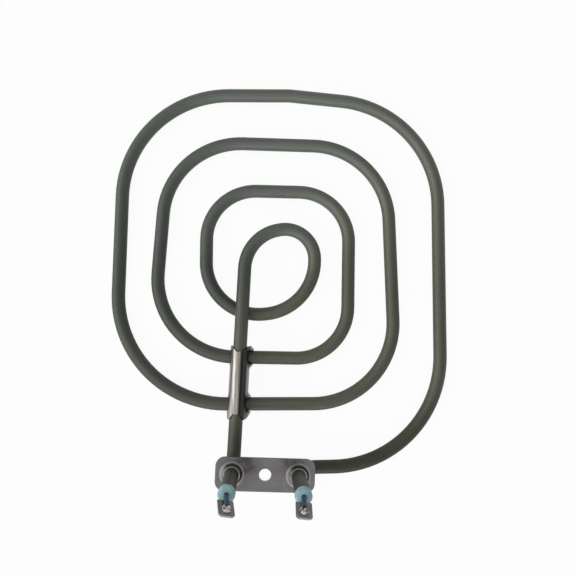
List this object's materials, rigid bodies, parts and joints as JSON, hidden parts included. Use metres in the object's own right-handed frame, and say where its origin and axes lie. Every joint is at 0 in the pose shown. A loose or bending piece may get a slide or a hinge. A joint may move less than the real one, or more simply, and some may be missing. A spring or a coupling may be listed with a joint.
{
  "type": "tubular heating element",
  "caption": "Flat spiral tubular heater with rounded-square turns, a clip over the crossing stem, and two sealed terminals through a flange plate.",
  "frame": {"origin": "centre of the flange plate's fixing hole, on the plate's outer face", "axes": "+Z out of the plate along the terminals, +Y from the plate across the coil, +X from the left terminal to the right one"},
  "size_m": [0.1676, 0.1967, 0.0682],
  "materials": {
    "sheath_steel": "annealed, dark olive grey satin",
    "magnesia": "compacted powder",
    "resistance_wire": "drawn wire",
    "plate_steel": "rolled stainless sheet, light scratches",
    "clip_steel": "bright stainless strip",
    "pin_steel": "drawn, slightly oxidised",
    "seal_silicone": "satin, blue green",
    "tab_steel": "darkened by welding"
  },
  "bodies": {
    "root": {"sheath": "sheath_steel", "magnesia_fill": "magnesia", "resistance_coil": "resistance_wire", "flange_plate": "plate_steel", "coil_clip": "clip_steel", "cold_pin_left": "pin_steel", "cold_pin_right": "pin_steel", "seal_left": "seal_silicone", "seal_right": "seal_silicone", "tab_left": "tab_steel", "tab_right": "tab_steel"}
  },
  "joints": []
}
